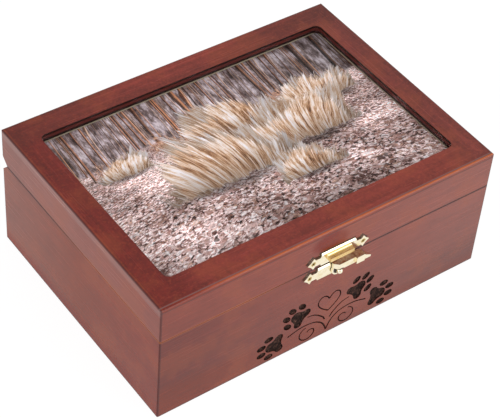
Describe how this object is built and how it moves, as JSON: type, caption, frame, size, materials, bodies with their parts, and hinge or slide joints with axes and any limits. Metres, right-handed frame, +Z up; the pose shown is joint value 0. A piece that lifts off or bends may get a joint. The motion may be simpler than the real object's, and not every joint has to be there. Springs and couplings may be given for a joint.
{
  "type": "keepsake box",
  "caption": "Stained wooden keepsake box with a hinged lid, a picture window in the lid, a brass turn latch and an engraved front.",
  "frame": {"origin": "middle of the base, on the surface that the box stands on", "axes": "+X to the right as seen from the front, +Y to the back, +Z up; the front with the latch faces -Y"},
  "size_m": [0.172, 0.1293, 0.0645],
  "materials": {
    "front_wood": "red-brown stain under satin lacquer, straight grain along the front",
    "side_wood": "red-brown stain under satin lacquer",
    "top_wood": "darker red-brown stain, mottled figure, satin lacquer",
    "base_wood": "stained plywood, matt",
    "backing": "plain fibreboard",
    "felt": "dark red felt",
    "clear_pane": "polished clear pane",
    "print": "glossy photographic print",
    "latch_brass": "polished, lightly lacquered",
    "screw_brass": "dull brass",
    "hinge_brass": "brushed brass",
    "point_steel": "plain spring steel"
  },
  "bodies": {
    "box": {"front_wall": "front_wood", "back_wall": "side_wood", "left_wall": "side_wood", "right_wall": "side_wood", "bottom_panel": "base_wood", "floor_felt": "felt", "latch_lower_plate": "latch_brass", "latch_lower_screws": "screw_brass", "latch_pivot_stud": "latch_brass", "hinge_body_leaf_left": "hinge_brass", "hinge_body_leaf_right": "hinge_brass", "hinge_pin_left": "hinge_brass", "hinge_pin_right": "hinge_brass"},
    "lid": {"lid_front_rail": "front_wood", "lid_back_rail": "side_wood", "lid_left_rail": "side_wood", "lid_right_rail": "side_wood", "top_frame": "top_wood", "window_pane": "clear_pane", "photo_print": "print", "backing_board": "backing", "backing_felt": "felt", "retaining_points": "point_steel", "latch_upper_plate": "latch_brass", "latch_upper_screws": "screw_brass", "hinge_lid_leaf_left": "hinge_brass", "hinge_lid_leaf_right": "hinge_brass"},
    "lever": {"latch_lever": "latch_brass"}
  },
  "joints": [
    {"name": "lid_hinge", "type": "hinge", "parent": "box", "child": "lid", "pos_m": [0, 0.06035, 0.046], "axis": [-1, 0, 0], "range_deg": [0, 95]},
    {"name": "latch_turn", "type": "hinge", "parent": "box", "child": "lever", "pos_m": [0.0015, -0.062, 0.0417], "axis": [0, 1, 0], "range_deg": [0, 100]}
  ]
}
